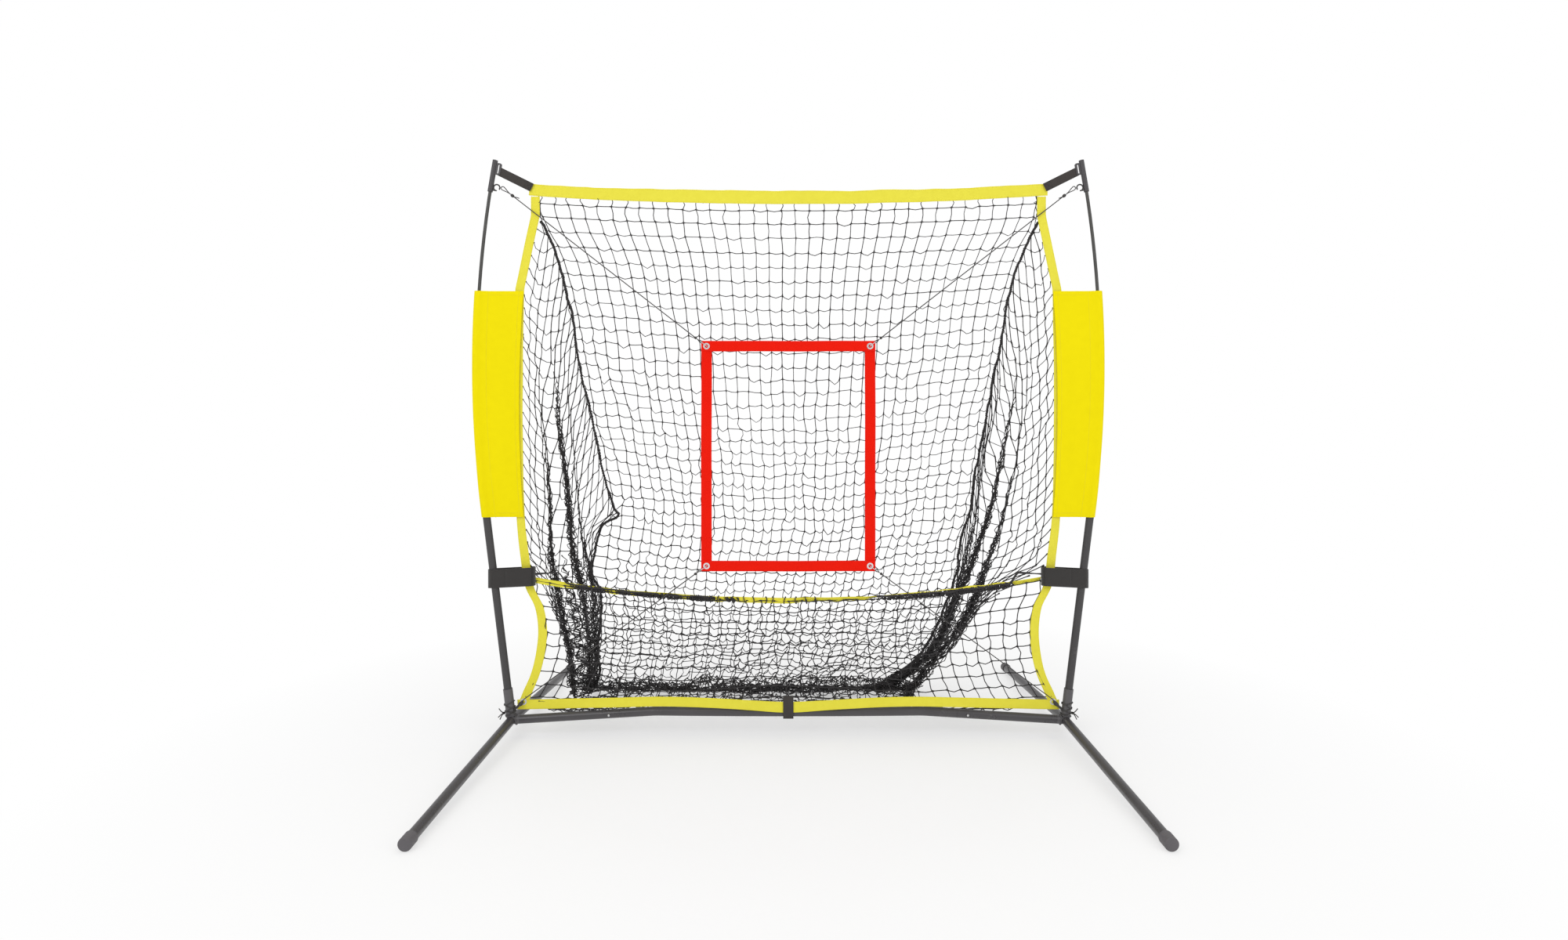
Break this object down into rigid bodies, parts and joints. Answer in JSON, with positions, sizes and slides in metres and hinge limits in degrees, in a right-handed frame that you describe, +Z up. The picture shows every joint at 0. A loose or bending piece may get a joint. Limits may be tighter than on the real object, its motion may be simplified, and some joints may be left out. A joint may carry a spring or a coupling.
{
  "type": "pitching target net",
  "caption": "Free-standing pitching net: a bow frame on plug-in legs stretches a taped mesh bag with a ball stop and a strike-zone target hung on elastic cords.",
  "frame": {"origin": "on the ground, midway between the two hubs, under the crossbar", "axes": "+X across the opening, +Y back into the net bag, +Z up; the open face looks along -Y"},
  "size_m": [1.8582, 1.401, 1.6912],
  "materials": {
    "powder_coated_tube": "satin dark grey powder coat",
    "rubber_cap": "matt moulded rubber",
    "bright_wire": "zinc plated",
    "nickel_eyelet": "nickel plated, brushed",
    "moulded_black": "matt moulded",
    "fibreglass_rod": "pultruded, faint gloss",
    "yellow_sleeve_cloth": "woven polyester, smooth",
    "yellow_binding": "woven polyester tape",
    "black_webbing": "ribbed webbing",
    "red_webbing": "ribbed webbing",
    "elastic_cord": "braided cover",
    "net_twine": "knotted twine"
  },
  "bodies": {
    "frame": {"bottom_hem": "yellow_binding", "centre_strap": "black_webbing", "corner_strap_left": "black_webbing", "corner_strap_right": "black_webbing", "crossbar_arm_left": "powder_coated_tube", "crossbar_arm_right": "powder_coated_tube", "crossbar_middle": "powder_coated_tube", "elastic_lower_left": "elastic_cord", "elastic_lower_right": "elastic_cord", "elastic_upper_left": "elastic_cord", "elastic_upper_right": "elastic_cord", "hem_grommets": "nickel_eyelet", "hem_tie_left": "elastic_cord", "hem_tie_right": "elastic_cord", "hub_left": "powder_coated_tube", "hub_right": "powder_coated_tube", "net_back": "net_twine", "net_ball_stop": "net_twine", "net_floor": "net_twine", "net_side_left": "net_twine", "net_side_right": "net_twine", "pole_collars": "moulded_black", "pole_rod_left": "fibreglass_rod", "pole_rod_right": "fibreglass_rod", "pole_tube_left": "powder_coated_tube", "pole_tube_right": "powder_coated_tube", "seam_rope_left": "net_twine", "seam_rope_right": "net_twine", "side_binding_left": "yellow_binding", "side_binding_right": "yellow_binding", "side_sleeve_left": "yellow_sleeve_cloth", "side_sleeve_right": "yellow_sleeve_cloth", "side_strap_left": "black_webbing", "side_strap_right": "black_webbing", "snap_springs": "bright_wire", "stop_cord": "net_twine", "stop_tape": "yellow_binding", "tip_cap_left": "moulded_black", "tip_cap_right": "moulded_black", "tip_hook_left": "bright_wire", "tip_hook_right": "bright_wire", "top_binding": "yellow_binding"},
    "leg_front_left": {"foot_cap_front_left": "rubber_cap", "leg_front_left": "powder_coated_tube"},
    "leg_front_right": {"foot_cap_front_right": "rubber_cap", "leg_front_right": "powder_coated_tube"},
    "leg_rear_left": {"foot_cap_rear_left": "rubber_cap", "leg_rear_left": "powder_coated_tube"},
    "leg_rear_right": {"foot_cap_rear_right": "rubber_cap", "leg_rear_right": "powder_coated_tube"},
    "snap_button_left": {"snap_button_left": "bright_wire"},
    "snap_button_right": {"snap_button_right": "bright_wire"},
    "target": {"target_grommets": "nickel_eyelet", "target_hooks": "bright_wire", "target_tape_bottom": "red_webbing", "target_tape_left": "red_webbing", "target_tape_right": "red_webbing", "target_tape_top": "red_webbing"}
  },
  "joints": [
    {"name": "leg_front_left_pull", "type": "slide", "parent": "frame", "child": "leg_front_left", "axis": [0, -0.9989, -0.0468], "range_m": [0, 0.06]},
    {"name": "leg_front_right_pull", "type": "slide", "parent": "frame", "child": "leg_front_right", "axis": [0, -0.9989, -0.0468], "range_m": [0, 0.06]},
    {"name": "leg_rear_left_pull", "type": "slide", "parent": "frame", "child": "leg_rear_left", "axis": [0, 0.9989, -0.0468], "range_m": [0, 0.06]},
    {"name": "leg_rear_right_pull", "type": "slide", "parent": "frame", "child": "leg_rear_right", "axis": [0, 0.9989, -0.0468], "range_m": [0, 0.06]},
    {"name": "snap_button_left_press", "type": "slide", "parent": "frame", "child": "snap_button_left", "axis": [0, 1, 0], "range_m": [0, 0.004], "stiffness_N_per_m": 1500, "springref_m": -0.003},
    {"name": "snap_button_right_press", "type": "slide", "parent": "frame", "child": "snap_button_right", "axis": [0, 1, 0], "range_m": [0, 0.004], "stiffness_N_per_m": 1500, "springref_m": -0.003},
    {"name": "target_push_back", "type": "slide", "parent": "frame", "child": "target", "axis": [0, 1, 0], "range_m": [-0.06, 0.15], "stiffness_N_per_m": 260}
  ]
}
